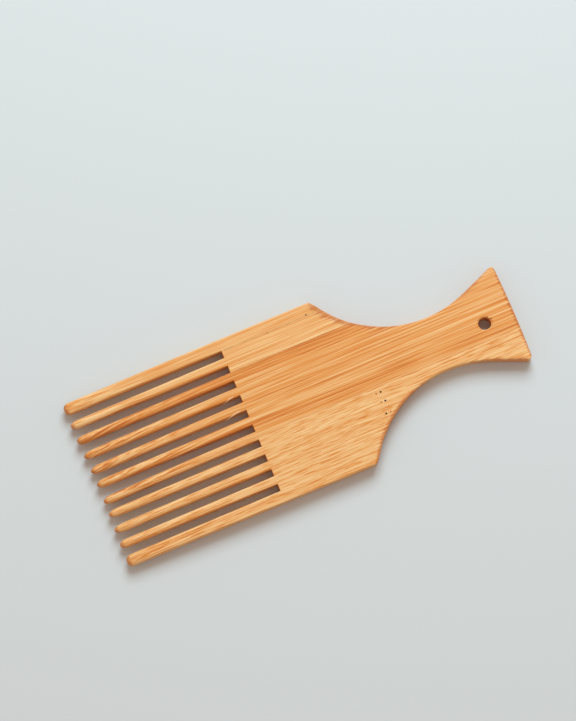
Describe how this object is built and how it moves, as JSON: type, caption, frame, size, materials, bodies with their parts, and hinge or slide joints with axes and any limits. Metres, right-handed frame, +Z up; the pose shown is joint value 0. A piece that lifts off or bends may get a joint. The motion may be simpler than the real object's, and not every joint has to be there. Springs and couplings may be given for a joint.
{
  "type": "wide tooth comb",
  "caption": "Flat bamboo hair comb with long wide-set teeth, a waisted flared handle and a round hanging hole.",
  "frame": {"origin": "middle of the whole comb on its underside", "axes": "+X along the comb towards the handle's end, +Y towards the narrow guard slat, +Z up out of the face, with the comb lying flat"},
  "size_m": [0.18, 0.07, 0.007],
  "materials": {
    "bamboo_guard": "smooth sanded bamboo, side grain",
    "bamboo_upper": "smooth sanded bamboo, fine straight grain",
    "bamboo_centre": "smooth sanded bamboo, banded grain",
    "bamboo_lower": "smooth sanded bamboo, flat grain with a node",
    "glue": "thin hardened glue line"
  },
  "bodies": {
    "root": {"guard_slat": "bamboo_guard", "upper_slat": "bamboo_upper", "centre_slat": "bamboo_centre", "lower_slat": "bamboo_lower", "guard_glue_line": "glue", "upper_glue_line": "glue", "lower_glue_line": "glue"}
  },
  "joints": []
}
